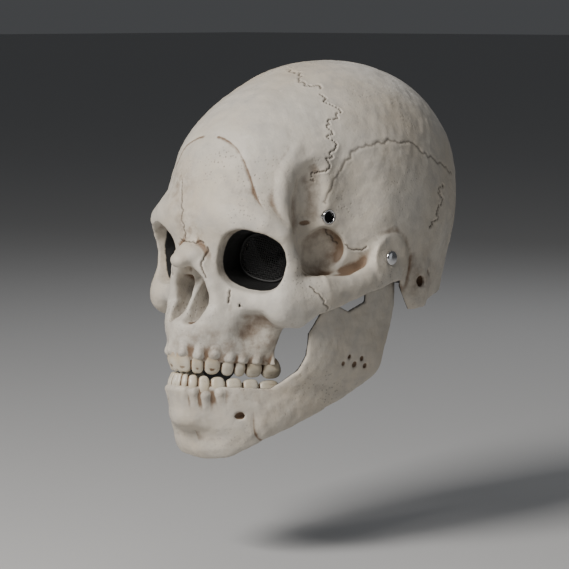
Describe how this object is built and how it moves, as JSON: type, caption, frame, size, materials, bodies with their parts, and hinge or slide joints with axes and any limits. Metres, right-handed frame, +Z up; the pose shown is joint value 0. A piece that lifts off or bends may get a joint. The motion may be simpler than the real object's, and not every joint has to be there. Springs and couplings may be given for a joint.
{
  "type": "skull mask",
  "caption": "Full-head skull mask with a hinged jaw, mesh eye screens, temple eyelets and domed jaw rivets.",
  "frame": {"origin": "the inside of the crown, on the middle plane, where the mask sits on the wearer's head", "axes": "+Z up, -Y the way the face looks, +X towards the wearer's left"},
  "size_m": [0.159, 0.246, 0.2608],
  "materials": {
    "cranium": "aged bone paint",
    "jaw": "aged bone paint",
    "eye_screen_left": "black woven mesh",
    "eye_screen_right": "black woven mesh",
    "temple_eyelet_left": "polished",
    "temple_eyelet_right": "polished",
    "jaw_rivet_left": "polished",
    "jaw_rivet_right": "polished"
  },
  "bodies": {
    "skull": {"cranium": "cranium", "eye_screen_left": "eye_screen_left", "eye_screen_right": "eye_screen_right", "temple_eyelet_left": "temple_eyelet_left", "temple_eyelet_right": "temple_eyelet_right", "jaw_rivet_left": "jaw_rivet_left", "jaw_rivet_right": "jaw_rivet_right"},
    "lower_jaw": {"jaw": "jaw"}
  },
  "joints": [
    {"name": "jaw_hinge", "type": "hinge", "parent": "skull", "child": "lower_jaw", "pos_m": [0, -0.01242, -0.12737], "axis": [1, 0, 0], "range_deg": [0, 16]}
  ]
}
